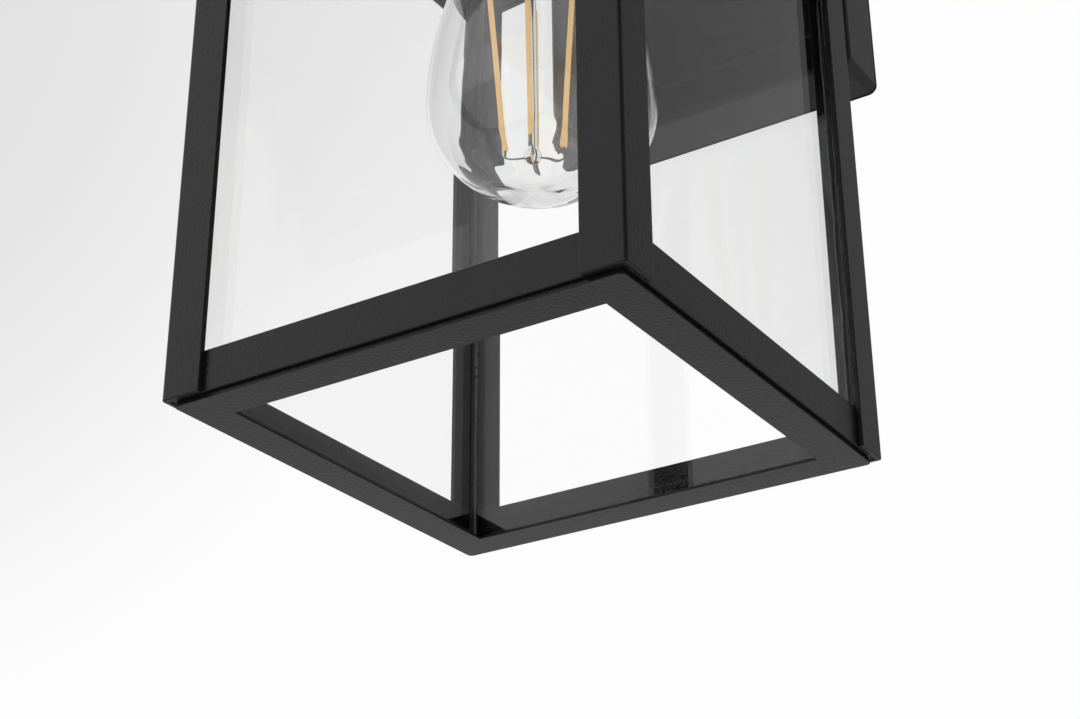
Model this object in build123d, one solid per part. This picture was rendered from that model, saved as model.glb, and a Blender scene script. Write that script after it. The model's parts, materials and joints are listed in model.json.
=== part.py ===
from build123d import *
import math
import os

# Outdoor wall lantern: an open-bottomed square glass box under an overhanging sheet roof,
# carried on a short square arm from a pan-shaped wall plate.
# Millimetres.  Row frame: origin at the centre of the wall plate on the wall plane,
# +Y into the wall, -Y out to the front, +Z up.

# ---- driving dimensions ------------------------------------------------------------
body_width = 135.0          # outside of the corner posts, square in plan
frame_height = 209.0        # underside of the bottom ring to the top of the frame
wall_gap = 54.0             # wall plane to the back of the body
plate_width = 110.0
plate_height = 156.0
plate_depth = 22.0          # wall plane to the rim face of the plate

# ---- sheet frame -------------------------------------------------------------------
post_leg = 12.2
post_wall = 1.6
post_bend = 1.2
post_lift = 1.4             # lower end of a post above the underside of the ring
rail_height = 11.6
rail_wall = 1.2
rail_lift = 1.6
top_rail_height = 14.2
edge_break = 0.3            # softened sheet edges

ring_wall = 0.9
ring_lip = 0.25             # thin outer lip under the tapered edge
ring_taper = 1.5
ring_setback = 2.2
ring_width = 10.9
ring_corner = 1.6
upstand_wall = 1.0          # inner flange of the ring, behind the rails
upstand_height = 6.0

# ---- glass -------------------------------------------------------------------------
pane_wall = 3.0
pane_air = 0.2              # between the ring's upstand and the glass
pane_joint = 0.6            # between neighbouring panes
pane_top_air = 0.8
pane_arris = 0.35
bead_radius = 1.5
bead_end_air = 3.0
clip_width = 10.0
clip_wall = 0.8
clip_drop = 9.0
clip_inset = 37.5           # middle of a clip from the corner of the body

# ---- roof --------------------------------------------------------------------------
roof_overhang = 16.0
roof_wall = 1.2
roof_lip_drop = 1.5         # lower edge of the pan below the top of the frame
pan_height = 10.0
pan_corner = 2.5
pan_fillet = 1.0
pan_ledge = 8.0             # pan's top sheet inside the cap's outline
ceiling_wall = 1.2
ceiling_air = 0.5
cap_width = 100.0
cap_height = 34.0
cap_corner = 4.0
cap_fillet = 1.6
standoff_inset = 10.5       # roof screws inside the glass
standoff_radius = 3.5
small_screw_radius = 1.6
small_head_radius = 3.4
small_head_height = 2.2
thread_reach = 4.8          # length of a roof screw in its standoff

# ---- wall plate, crossbar and arm --------------------------------------------------
plate_wall = 1.2
plate_corner = 3.0
plate_fillet = 2.4
field_inset = 13.0
field_raise = 0.8
field_fillet = 0.5
gasket_wall = 1.5
gasket_width = 4.0
bar_length = 102.0
bar_width = 24.0
bar_wall = 2.0
slot_spacing = 79.4
slot_length = 14.0
slot_radius = 2.3
stud_offset = 28.0
stud_radius = 2.0
stud_clearance = 0.4
stud_tip = 6.5              # stud beyond the raised field
cap_nut_radius = 5.0
cap_nut_height = 9.0
nut_washer_radius = 5.6
nut_washer_wall = 0.8
ground_offset = 14.0
ground_head_radius = 3.6
ground_head_height = 2.2
arm_width = 22.0
arm_wall = 1.5
arm_corner = 1.5
arm_lift = 1.8              # arm above the roof pan
nipple_radius = 5.0
nipple_bore = 3.5
nipple_clearance = 0.2
washer_radius = 8.0
washer_wall = 0.8
nut_across = 14.0
nut_height = 3.0
nipple_tail = 2.0           # nipple beyond its nut

# ---- lampholder --------------------------------------------------------------------
lamp_right = 1.8            # the lamp hangs a little off the middle of the body
lamp_back = 1.2
holder_radius = 17.5
holder_drop = 19.8          # holder rim below the frame's top
holder_height = 45.5
holder_air = 3.5            # straight neck of the glass to the holder rim
cup_wall = 1.0
cup_clearance = 1.1
cup_flange = 4.4
cup_skirt = 2.0             # cup below the holder rim
shell_wall = 0.5
shell_height = 21.0
shell_start = 1.5
thread_clearance = 0.05
contact_gap = 0.3
contact_wall = 0.5
contact_width = 6.0
contact_reach = 8.0
contact_room = 3.0
terminal_height = 38.0      # terminal screws above the holder rim
terminal_radius = 1.8
terminal_head = 3.5
terminal_head_height = 2.0
terminal_depth = 6.0
holder_stem_radius = 5.0
holder_stem_bore = 3.2
strap_width = 16.0
strap_wall = 1.5
strap_air = 0.5             # between the strap's ends and the cap
strap_foot = 9.0
strap_half_top = 26.0
strap_rise = 4.0            # strap above the top of the holder

# ---- bulb (medium screw cap, elongated clear envelope) -----------------------------
bulb_radius = 31.5
belly_height = 27.5         # widest point above the bulb's tip
glass_wall = 0.8
neck_radius = 14.2
neck_start = 106.0
neck_end = 113.0
throat_radius = 12.3
throat_end = 124.0
lamp_cap_radius = 13.0
lamp_cap_wall = 0.4
lamp_cap_start = 115.0
lamp_cap_end = 136.0
insulator_end = 140.5
insulator_small = 5.2
tip_radius = 4.6
tip_end = 142.5
bulb_travel = 24.0
filament_radius = 0.8
filament_count = 4
filament_turn = 25.0
filament_low = 14.0
filament_high = 71.0
filament_low_radius = 8.0
filament_high_radius = 12.4
support_radius = 0.3
stem_low = 10.7
stem_high = 86.0
stem_rod_radius = 1.3
stem_bead_radius = 2.3
stem_tube_radius = 5.5

# ---- leads -------------------------------------------------------------------------
lead_radius = 1.0
lead_bend = 4.0
lead_side = 1.2             # line leads beside the middle of the nipple
lead_down = 0.7             # line leads below the middle of the nipple
lead_up = 1.35              # ground lead above it
lead_end_air = 0.15
connector_offset = 22.0
connector_top = -30.0
connector_length = 18.0
connector_small = 3.2
connector_large = 4.8
connector_bore = 1.8
connector_depth = 9.0

# ---- places worked out from the dimensions -----------------------------------------
half = body_width / 2
body_y = -(wall_gap + half)
pan_bottom = frame_height - roof_lip_drop
pan_top = pan_bottom + pan_height
cap_top = pan_top + cap_height
body_z = -(pan_top + arm_lift + arm_width / 2)
body = Pos(0, body_y, body_z)
lamp = body * Pos(lamp_right, lamp_back, 0)
rail_face = half - post_wall
upstand_face = rail_face - rail_wall
pane_face = upstand_face - upstand_wall - pane_air
pane_back = pane_face - pane_wall
ring_outer = half - ring_setback
ring_inner = ring_outer - ring_width
clip_offset = half - clip_inset
pan_opening = cap_width - 2 * pan_ledge
standoff_offset = pane_back - standoff_inset
ceiling_top = frame_height + ceiling_wall
holder_rim = frame_height - holder_drop
bulb_tip_height = holder_rim - holder_air - neck_end
holder_top = holder_rim + holder_height
shell_bore = lamp_cap_radius + thread_clearance
shell_outer = shell_bore + shell_wall
contact_z = bulb_tip_height + tip_end + contact_gap
cup_bore = holder_radius + cup_clearance
strap_z = holder_top + strap_rise
plate_front = -plate_depth
field_front = plate_front - field_raise
plate_back = -gasket_wall
cap_back = body_y + cap_width / 2
strap_end = cap_width / 2 - roof_wall - strap_air
strap_screw_offset = strap_end - small_head_radius


def block(x0, x1, y0, y1, z0, z1):
    """A box between two corners."""
    return Pos((x0 + x1) / 2, (y0 + y1) / 2, (z0 + z1) / 2) * Box(x1 - x0, y1 - y0, z1 - z0)


def disc(radius, z0, z1, x=0.0, y=0.0):
    """An upright cylinder between two heights."""
    return Pos(x, y, (z0 + z1) / 2) * Cylinder(radius, z1 - z0)


def bar_y(radius, y0, y1, x=0.0, z=0.0):
    """A cylinder lying along Y between two depths."""
    return Pos(x, (y0 + y1) / 2, z) * Rot(90, 0, 0) * Cylinder(radius, y1 - y0)


def bar_x(radius, x0, x1, y=0.0, z=0.0):
    """A cylinder lying along X."""
    return Pos((x0 + x1) / 2, y, z) * Rot(0, 90, 0) * Cylinder(radius, x1 - x0)


def slab(width, depth, corner, z0, z1):
    """A flat upright-sided plate with rounded plan corners, centred on the axis."""
    return Pos(0, 0, z0) * extrude(RectangleRounded(width, depth, corner), z1 - z0)


def rod_between(radius, start, end):
    """A straight round rod between two points."""
    line = Line(start, end)
    return sweep(Plane(origin=line @ 0, z_dir=line % 0) * Circle(radius), path=line)


def hexagon(across, y0, y1):
    """A hexagonal nut blank lying along Y."""
    blank = extrude(RegularPolygon(across / math.sqrt(3), 6), y1 - y0)
    return Pos(0, y1, 0) * Rot(90, 0, 0) * blank


def group(solids):
    """Several separate solids kept in one node."""
    return Compound(list(solids))


def save(name, shape):
    export_step(shape, f"parts/{name}.step")


def around(shape, turns=(0, 90, 180, 270)):
    """Copies of a shape turned about the body's upright axis."""
    return [Rot(0, 0, turn) * shape for turn in turns]


os.makedirs("parts", exist_ok=True)


# ---- corner posts, rails and ring --------------------------------------------------
def corner_post():
    """A folded angle at the front left corner."""
    outline = Polyline(
        (0, 0), (post_leg, 0), (post_leg, post_wall), (post_wall, post_wall),
        (post_wall, post_leg), (0, post_leg), close=True)
    face = make_face(outline)
    bend = face.vertices().sort_by_distance((0, 0, 0))[0]
    face = fillet(bend, post_bend)
    post = Pos(-half, -half, post_lift) * extrude(face, frame_height - post_lift)
    return chamfer(post.edges().group_by(Axis.Z)[0], edge_break)


def rail(length, z0, height):
    """A flat strip along the front of the body, its face set behind the posts."""
    strip = block(-length / 2, length / 2, -rail_face, -rail_face + rail_wall, z0, z0 + height)
    long_edges = strip.edges().filter_by(Axis.X).group_by(Axis.Y)[0]
    return chamfer(long_edges, edge_break)


def bottom_ring():
    """A flat square ring with a tapered outer edge and an upstand all round behind the rails."""
    low = Pos(0, 0, ring_lip) * RectangleRounded(2 * ring_outer, 2 * ring_outer, ring_corner)
    high_half = ring_outer - ring_taper
    high = Pos(0, 0, ring_wall) * RectangleRounded(2 * high_half, 2 * high_half, ring_corner / 2)
    ring = slab(2 * ring_outer, 2 * ring_outer, ring_corner, 0, ring_lip) + loft([low, high])
    upstand_top = ring_wall + upstand_height
    room = upstand_face - upstand_wall
    upstand = block(-upstand_face, upstand_face, -upstand_face, upstand_face,
                    ring_lip, upstand_top)
    upstand -= block(-room, room, -room, room, 0, upstand_top + 1)
    hole = block(-ring_inner, ring_inner, -ring_inner, ring_inner, -1, ring_wall + 1)
    return ring + upstand - hole


long_rail = 2 * rail_face
short_rail = 2 * (rail_face - rail_wall)
top_rail_low = frame_height - top_rail_height
corners = {"front_left": 0, "front_right": 90, "back_right": 180, "back_left": 270}
for corner, turn in corners.items():
    save(f"corner_post_{corner}", body * Rot(0, 0, turn) * corner_post())

sides = {"front": (0, long_rail), "right": (90, short_rail),
         "back": (180, long_rail), "left": (270, short_rail)}
for side, (turn, length) in sides.items():
    save(f"bottom_rail_{side}", body * Rot(0, 0, turn) * rail(length, rail_lift, rail_height))
    save(f"top_rail_{side}", body * Rot(0, 0, turn) * rail(length, top_rail_low, top_rail_height))
save("bottom_ring", body * bottom_ring())


# ---- glass panes, beads and clips --------------------------------------------------
def pane(width):
    """A sheet of clear glass behind the front rails."""
    sheet = block(-width / 2, width / 2, -pane_face, -pane_back,
                  ring_wall, frame_height - pane_top_air)
    return chamfer(sheet.edges(), pane_arris)


def corner_bead():
    """A bead of silicone in the upright corner between two panes."""
    low = ring_wall + bead_end_air
    high = frame_height - pane_top_air - bead_end_air
    column = disc(bead_radius, low, high, -pane_back, -pane_back)
    return column & block(-pane_back, 0, -pane_back, 0, low, high)


def glass_clip(middle):
    """A tab that hangs from the ceiling plate behind the top of a pane."""
    return block(middle - clip_width / 2, middle + clip_width / 2,
                 -pane_back, -pane_back + clip_wall, frame_height - clip_drop, frame_height)


long_pane = 2 * pane_face
short_pane = 2 * (pane_back - pane_joint)
pane_widths = {"front": long_pane, "right": short_pane, "back": long_pane, "left": short_pane}
for side, width in pane_widths.items():
    save(f"glass_pane_{side}", body * Rot(0, 0, sides[side][0]) * pane(width))
save("silicone_beads", body * group(around(corner_bead())))
clips = [copy for end in (-1, 1) for copy in around(glass_clip(end * clip_offset))]
save("glass_clips", body * group(clips))


# ---- roof --------------------------------------------------------------------------
def roof_pan():
    """The wide lower roof: a shallow upturned tray with a square opening under the cap."""
    width = body_width + 2 * roof_overhang
    pan = slab(width, width, pan_corner, pan_bottom, pan_top)
    pan = fillet(pan.edges().group_by(Axis.Z)[-1], pan_fillet)
    room = width - 2 * roof_wall
    pan -= slab(room, room, pan_corner - roof_wall, pan_bottom - 1, pan_top - roof_wall)
    pan -= block(-pan_opening / 2, pan_opening / 2, -pan_opening / 2, pan_opening / 2,
                 pan_bottom, pan_top + 1)
    for sx in (-1, 1):
        pan -= disc(small_screw_radius, pan_bottom, pan_top + 1, sx * strap_screw_offset, 0)
    return pan


def roof_cap():
    """The raised square cap over the wiring, with a hole for the arm's nipple at the back."""
    cap = slab(cap_width, cap_width, cap_corner, pan_top, cap_top)
    cap = fillet(cap.edges().group_by(Axis.Z)[-1], cap_fillet)
    room = cap_width - 2 * roof_wall
    cap -= slab(room, room, cap_corner - roof_wall, pan_top - 1, cap_top - roof_wall)
    hole = bar_y(nipple_radius + nipple_clearance, 0, cap_width, 0, -body_z)
    return cap - hole


def ceiling_plate():
    """The flat plate that closes the roof from below and carries the holder cup."""
    width = body_width + 2 * (roof_overhang - roof_wall - ceiling_air)
    plate = slab(width, width, pan_corner - roof_wall, frame_height, ceiling_top)
    plate -= disc(cup_bore, frame_height - 1, ceiling_top + 1, lamp_right, lamp_back)
    for sx in (-1, 1):
        for sy in (-1, 1):
            plate -= disc(small_screw_radius, frame_height - 1, ceiling_top + 1,
                          sx * standoff_offset, sy * standoff_offset)
    return plate


def standoff():
    """A round threaded standoff under the roof pan."""
    post = disc(standoff_radius, ceiling_top, pan_top - roof_wall)
    return post - disc(small_screw_radius, ceiling_top - 1, ceiling_top + thread_reach)


def roof_screw():
    """A pan head screw up through the ceiling plate."""
    head = disc(small_head_radius, frame_height - small_head_height, frame_height)
    head = fillet(head.edges().group_by(Axis.Z)[0], small_head_height / 2.5)
    head -= block(-small_head_radius, small_head_radius, -0.4, 0.4,
                  frame_height - small_head_height - 1, frame_height - small_head_height / 2)
    return head + disc(small_screw_radius, frame_height, ceiling_top + thread_reach)


save("roof_pan", body * roof_pan())
save("roof_cap", body * roof_cap())
save("ceiling_plate", body * ceiling_plate())
screw_places = [Pos(sx * standoff_offset, sy * standoff_offset, 0)
                for sx in (-1, 1) for sy in (-1, 1)]
save("roof_standoffs", body * group(place * standoff() for place in screw_places))
save("roof_screws", body * group(place * roof_screw() for place in screw_places))


# ---- wall plate --------------------------------------------------------------------
def tray(width, height, corner, y_open, y_face, rounding):
    """An upright block with rounded corners, open side towards the wall."""
    face = Plane(origin=(0, y_open, 0), x_dir=(1, 0, 0), z_dir=(0, -1, 0))
    solid = extrude(face * RectangleRounded(width, height, corner), y_open - y_face)
    return fillet(solid.edges().group_by(Axis.Y)[0], rounding)


def wall_plate():
    """A folded pan with a raised rectangular field, hollow at the back."""
    field_width = plate_width - 2 * field_inset
    field_height = plate_height - 2 * field_inset
    outer = tray(plate_width, plate_height, plate_corner, plate_back, plate_front, plate_fillet)
    outer += tray(field_width, field_height, plate_corner, plate_front + plate_wall,
                  field_front, field_fillet)
    inner = tray(plate_width - 2 * plate_wall, plate_height - 2 * plate_wall,
                 plate_corner - plate_wall, plate_back + 1, plate_front + plate_wall,
                 plate_fillet - plate_wall)
    inner += tray(field_width - 2 * plate_wall, field_height - 2 * plate_wall,
                  plate_corner - plate_wall, plate_front + 2 * plate_wall,
                  field_front + plate_wall, field_fillet / 2)
    pan = outer - inner
    pan -= bar_y(nipple_radius + nipple_clearance, field_front - 1, plate_front + 3)
    for sx in (-1, 1):
        pan -= bar_y(stud_radius + stud_clearance, field_front - 1, plate_front + 3,
                     sx * stud_offset)
    return pan


def wall_gasket():
    """A foam strip round the rim of the plate, against the wall."""
    face = Plane(origin=(0, 0, 0), x_dir=(1, 0, 0), z_dir=(0, -1, 0))
    outer = extrude(face * RectangleRounded(plate_width, plate_height, plate_corner), gasket_wall)
    inner = extrude(face * Rectangle(plate_width - 2 * gasket_width,
                                     plate_height - 2 * gasket_width), gasket_wall)
    return outer - inner


def mounting_crossbar():
    """The flat bar that is screwed across the junction box and carries the plate's studs."""
    face = Plane(origin=(0, 0, 0), x_dir=(1, 0, 0), z_dir=(0, -1, 0))
    flat = RectangleRounded(bar_length, bar_width, 3.0)
    for sx in (-1, 1):
        flat -= Pos(sx * slot_spacing / 2, 0) * SlotOverall(slot_length, 2 * slot_radius)
        flat -= Pos(sx * stud_offset, 0) * Circle(stud_radius)
    flat -= Pos(ground_offset, 0) * Circle(stud_radius)
    return extrude(face * flat, bar_wall)


def plate_stud():
    """A threaded stud from the crossbar out through the plate."""
    stud = bar_y(stud_radius, field_front - stud_tip, 0)
    return chamfer(stud.edges().group_by(Axis.Y)[0], 0.5)


def cap_nut():
    """A domed nut on the end of a stud."""
    seat = field_front - nut_washer_wall
    nut = bar_y(cap_nut_radius, seat - cap_nut_height, seat)
    nut = fillet(nut.edges().group_by(Axis.Y)[0], cap_nut_radius * 0.8)
    return nut - bar_y(stud_radius, field_front - stud_tip, seat + 1)


def nut_washer():
    washer = bar_y(nut_washer_radius, field_front - nut_washer_wall, field_front)
    return washer - bar_y(stud_radius + stud_clearance, field_front - 2, field_front + 1)


def ground_screw():
    """The earthing screw in the crossbar."""
    head = bar_y(ground_head_radius, -bar_wall - ground_head_height, -bar_wall)
    head = chamfer(head.edges().group_by(Axis.Y)[0], 0.6)
    slot = block(-ground_head_radius, ground_head_radius,
                 -bar_wall - ground_head_height - 1, -bar_wall - ground_head_height / 2,
                 -0.5, 0.5)
    return Pos(ground_offset, 0, 0) * (head - slot + bar_y(stud_radius, -bar_wall, 0))


stud_places = [Pos(sx * stud_offset, 0, 0) for sx in (-1, 1)]
save("wall_plate", wall_plate())
save("wall_gasket", wall_gasket())
save("mounting_crossbar", mounting_crossbar())
save("plate_studs", group(place * plate_stud() for place in stud_places))
save("cap_nuts", group(place * cap_nut() for place in stud_places))
save("cap_nut_washers", group(place * nut_washer() for place in stud_places))
save("ground_screw", ground_screw())


# ---- arm ---------------------------------------------------------------------------
def arm_tube():
    """A square tube between the roof cap and the wall plate."""
    face = Plane(origin=(0, field_front, 0), x_dir=(1, 0, 0), z_dir=(0, -1, 0))
    bore = arm_width - 2 * arm_wall
    ring = RectangleRounded(arm_width, arm_width, arm_corner)
    ring -= Rectangle(bore, bore)
    return extrude(face * ring, field_front - cap_back)


plate_seat = field_front + plate_wall
cap_seat = cap_back - roof_wall
nipple_ends = (cap_seat - washer_wall - nut_height - nipple_tail,
               plate_seat + washer_wall + nut_height + nipple_tail)


def arm_nipple():
    """The hollow threaded rod that clamps the arm and carries the leads."""
    rod = bar_y(nipple_radius, *nipple_ends)
    return rod - bar_y(nipple_bore, nipple_ends[0] - 1, nipple_ends[1] + 1)


def arm_washer(y0):
    ring = bar_y(washer_radius, y0, y0 + washer_wall)
    return ring - bar_y(nipple_radius, y0 - 1, y0 + 2)


def arm_nut(y0):
    return hexagon(nut_across, y0, y0 + nut_height) - bar_y(nipple_radius, y0 - 1, y0 + 5)


save("arm_tube", arm_tube())
save("arm_nipple", arm_nipple())
save("arm_washers", group([arm_washer(cap_seat - washer_wall), arm_washer(plate_seat)]))
save("arm_nuts", group([arm_nut(cap_seat - washer_wall - nut_height),
                        arm_nut(plate_seat + washer_wall)]))


# ---- lampholder --------------------------------------------------------------------
def holder_cup():
    """The painted sleeve round the lampholder, hung from the ceiling plate by a flange."""
    low = holder_rim - cup_skirt
    cup = disc(cup_bore + cup_wall, low, frame_height)
    cup += disc(cup_bore + cup_flange, frame_height - cup_wall, frame_height)
    cup -= disc(cup_bore, low - 1, frame_height + 1)
    return chamfer(cup.edges().group_by(Axis.Z)[0], edge_break)


def holder_body():
    """The moulded insulating body with a bore for the screw shell and room for the contact."""
    form = disc(holder_radius, holder_rim, holder_top)
    form = fillet(form.edges().group_by(Axis.Z)[-1], 3.0)
    form -= disc(shell_outer, holder_rim - 1, contact_z + contact_room)
    form -= disc(holder_stem_radius, holder_top - 8, holder_top + 1)
    height = holder_rim + terminal_height
    for sx in (-1, 1):
        form -= bar_x(terminal_radius, *sorted((sx * (holder_radius - terminal_depth),
                                                sx * (holder_radius + 1))), 0, height)
    return form


def holder_screw_shell():
    """The metal sleeve that takes the bulb's screw cap."""
    low = holder_rim + shell_start
    sleeve = disc(shell_outer, low, low + shell_height)
    return sleeve - disc(shell_bore, low - 1, low + shell_height + 1)


def centre_contact():
    """The sprung brass leaf over the bulb's tip contact."""
    half_width = contact_width / 2
    leaf = block(-half_width, half_width, -contact_reach, contact_reach / 2,
                 contact_z, contact_z + contact_wall)
    return leaf + block(-half_width, half_width, -contact_reach, -contact_reach + contact_wall,
                        contact_z, contact_z + contact_room)


def terminal_screw(sx):
    """A wire terminal screw on the side of the holder."""
    height = holder_rim + terminal_height
    shank = sorted((sx * (holder_radius - terminal_depth), sx * holder_radius))
    head = sorted((sx * holder_radius, sx * (holder_radius + terminal_head_height)))
    return bar_x(terminal_radius, *shank, 0, height) + bar_x(terminal_head, *head, 0, height)


def holder_stem():
    """The hollow threaded stem that hangs the holder on its strap."""
    high = strap_z + strap_wall + nut_height + nipple_tail
    stem = disc(holder_stem_radius, holder_top - 8, high)
    return stem - disc(holder_stem_bore, holder_top - 9, high + 1)


def holder_strap():
    """A raised strap across the opening in the roof pan."""
    low = pan_top
    high = strap_z
    bend = strap_end - strap_foot
    path = [(-strap_end, low), (-bend, low), (-strap_half_top, high),
            (strap_half_top, high), (bend, low), (strap_end, low)]
    back = [(x, z + strap_wall) for x, z in reversed(path)]
    outline = Plane.XZ * make_face(Polyline(*path, *back, close=True))
    strap = extrude(outline, strap_width / 2, both=True)
    strap -= disc(holder_stem_radius, high - 1, high + strap_wall + 1, lamp_right, lamp_back)
    for sx in (-1, 1):
        strap -= disc(small_screw_radius, low - 1, low + strap_wall + 1, sx * strap_screw_offset)
    return strap


def strap_screw(sx):
    """A short screw that holds the strap to the roof pan."""
    low = pan_top + strap_wall
    screw = disc(small_screw_radius, pan_top - roof_wall - 1, low, sx * strap_screw_offset)
    return screw + disc(small_head_radius - 0.6, low, low + 1.8, sx * strap_screw_offset)


def stem_nut(z0, height):
    blank = Pos(0, 0, z0) * extrude(RegularPolygon(nut_across / math.sqrt(3), 6), height)
    return blank - disc(holder_stem_radius, z0 - 1, z0 + height + 1)


save("holder_cup", lamp * holder_cup())
save("holder_body", lamp * holder_body())
save("holder_screw_shell", lamp * holder_screw_shell())
save("holder_centre_contact", lamp * centre_contact())
save("holder_terminal_screws", lamp * group(terminal_screw(sx) for sx in (-1, 1)))
save("holder_stem", lamp * holder_stem())
save("holder_strap", body * holder_strap())
save("holder_strap_screws", body * group(strap_screw(sx) for sx in (-1, 1)))
save("holder_stem_nuts", lamp * group([stem_nut(holder_top, strap_rise),
                                       stem_nut(strap_z + strap_wall, nut_height)]))


# ---- bulb --------------------------------------------------------------------------
def envelope(inset):
    """The revolved outline of the glass, moved in by a wall thickness."""
    belly = bulb_radius - inset
    neck = neck_radius - inset
    throat = throat_radius - inset
    crown = EllipticalCenterArc((0, belly_height), belly, belly_height - inset, 270, arc_size=90)
    flank = Spline((belly, belly_height), (neck, neck_start),
                   tangents=[(0, 1), (-0.18, 1)], tangent_scalars=[0.85, 0.8])
    rise = Polyline((neck, neck_start), (neck, neck_end), (throat, neck_end + 2.0),
                    (throat, throat_end), (0, throat_end), (0, inset))
    return revolve(Plane.XZ * make_face(crown + flank + rise), Axis.Z)


def bulb_glass():
    return envelope(0) - envelope(glass_wall)


def lamp_cap():
    """The bulb's screw cap as a plain sleeve of its thread's outer size."""
    cap = disc(lamp_cap_radius, lamp_cap_start, lamp_cap_end)
    return cap - disc(lamp_cap_radius - lamp_cap_wall, lamp_cap_start - 1, lamp_cap_end + 1)


def lamp_insulator():
    """The dark glass cone between the cap's sleeve and its tip contact."""
    height = insulator_end - lamp_cap_end
    cone = Cone(lamp_cap_radius, insulator_small, height)
    return Pos(0, 0, (insulator_end + lamp_cap_end) / 2) * cone


def lamp_tip():
    tip = disc(tip_radius, insulator_end, tip_end)
    return fillet(tip.edges().group_by(Axis.Z)[-1], 1.2)


def ray(radius, turn, z):
    """A point at a radius and a bearing from the bulb's axis."""
    return (radius * math.sin(math.radians(turn)), -radius * math.cos(math.radians(turn)), z)


def bulb_stem():
    """The inner glass mount: a flared tube at the neck, a thin rod and an end bead."""
    tube_top = throat_end - glass_wall
    stem = disc(stem_tube_radius, stem_high, tube_top)
    stem = fillet(stem.edges().group_by(Axis.Z)[0], 2.0)
    stem += disc(stem_rod_radius, stem_low, stem_high + 1)
    return stem + Pos(0, 0, stem_low) * Sphere(stem_bead_radius)


filament_turns = [filament_turn + 360 * n / filament_count for n in range(filament_count)]


def filament(turn):
    return rod_between(filament_radius, ray(filament_low_radius, turn, filament_low),
                       ray(filament_high_radius, turn, filament_high))


def supports():
    """Fine wires from the glass rod to both ends of each filament."""
    wires = []
    root = stem_rod_radius + support_radius
    for turn in filament_turns:
        wires.append(rod_between(support_radius, ray(root, turn, stem_low + stem_bead_radius),
                                 ray(filament_low_radius, turn, filament_low - support_radius)))
        wires.append(rod_between(support_radius, ray(root, turn, stem_high - 2.0),
                                 ray(filament_high_radius, turn, filament_high + support_radius)))
    return wires


bulb = lamp * Pos(0, 0, bulb_tip_height)
save("bulb_glass", bulb * bulb_glass())
save("bulb_screw_cap", bulb * lamp_cap())
save("bulb_cap_insulator", bulb * lamp_insulator())
save("bulb_tip_contact", bulb * lamp_tip())
save("bulb_stem", bulb * bulb_stem())
save("bulb_filaments", bulb * group(filament(turn) for turn in filament_turns))
save("bulb_support_wires", bulb * group(supports()))


# ---- leads -------------------------------------------------------------------------
def lead(points, bend=lead_bend):
    """A round insulated lead through rounded corners."""
    path = FilletPolyline(*points, radius=bend)
    return sweep(Plane(origin=path @ 0, z_dir=path % 0) * Circle(lead_radius), path=path)


nipple_in = nipple_ends[0] - 6.0
nipple_out = nipple_ends[1] + 3.5
terminal_x = holder_radius + terminal_head_height + lead_radius
terminal_z = body_z + holder_rim + terminal_height
lead_depth = -9.0


def line_lead(sx):
    """Terminal to arm to connector, on one side."""
    return lead([
        (lamp_right + sx * terminal_x, body_y + lamp_back - 2.0, terminal_z),
        (lamp_right + sx * terminal_x, body_y + lamp_back + 20.0, terminal_z),
        (sx * lead_side, nipple_in, -lead_down),
        (sx * lead_side, nipple_out, -lead_down),
        (sx * connector_offset, lead_depth, -14.0),
        (sx * connector_offset, lead_depth, connector_top - connector_depth + 2.0)])


def ground_lead():
    """Holder strap to arm to earthing screw."""
    return lead([
        (-20.0, body_y + strap_width / 2, body_z + strap_z + strap_wall / 2),
        (-20.0, body_y + 22.0, body_z + strap_z + strap_wall / 2),
        (0.0, nipple_in, lead_up),
        (0.0, nipple_out, lead_up),
        (2.0, lead_depth, 20.0),
        (ground_offset, -6.0, 18.0),
        (ground_offset, -bar_wall - lead_radius - lead_end_air,
         ground_head_radius + lead_end_air)], bend=2.5)


def wire_connector(sx):
    """A twist-on connector over the end of a lead."""
    cone = Cone(connector_small, connector_large, connector_length)
    cone = Pos(0, 0, connector_top - connector_length / 2) * cone
    cone -= disc(connector_bore, connector_top - connector_depth, connector_top + 1)
    return Pos(sx * connector_offset, lead_depth, 0) * cone


save("live_lead", line_lead(1))
save("neutral_lead", line_lead(-1))
save("ground_lead", ground_lead())
save("wire_connectors", group(wire_connector(sx) for sx in (-1, 1)))
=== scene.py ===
import bpy
import json
import math
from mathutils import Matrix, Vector


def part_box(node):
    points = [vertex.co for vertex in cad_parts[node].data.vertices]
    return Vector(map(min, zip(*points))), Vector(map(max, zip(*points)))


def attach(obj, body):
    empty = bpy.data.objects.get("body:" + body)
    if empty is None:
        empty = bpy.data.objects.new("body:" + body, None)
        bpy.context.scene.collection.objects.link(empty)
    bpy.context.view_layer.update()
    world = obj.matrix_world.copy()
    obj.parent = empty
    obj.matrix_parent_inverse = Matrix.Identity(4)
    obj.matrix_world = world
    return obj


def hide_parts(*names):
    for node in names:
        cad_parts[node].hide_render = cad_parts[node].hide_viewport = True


# Outdoor wall lantern: black coated steel frame, four clear panes, an overhanging roof,
# a clear filament bulb, and a pan-shaped wall plate.  Metres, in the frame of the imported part.

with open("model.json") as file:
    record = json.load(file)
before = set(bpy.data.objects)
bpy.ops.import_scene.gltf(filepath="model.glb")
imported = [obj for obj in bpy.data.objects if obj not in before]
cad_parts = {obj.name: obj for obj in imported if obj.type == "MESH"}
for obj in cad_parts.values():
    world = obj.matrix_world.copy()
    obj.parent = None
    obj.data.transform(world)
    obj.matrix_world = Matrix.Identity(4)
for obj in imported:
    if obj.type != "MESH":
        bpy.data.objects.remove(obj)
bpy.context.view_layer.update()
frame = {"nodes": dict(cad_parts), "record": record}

MM = 0.001

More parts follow.
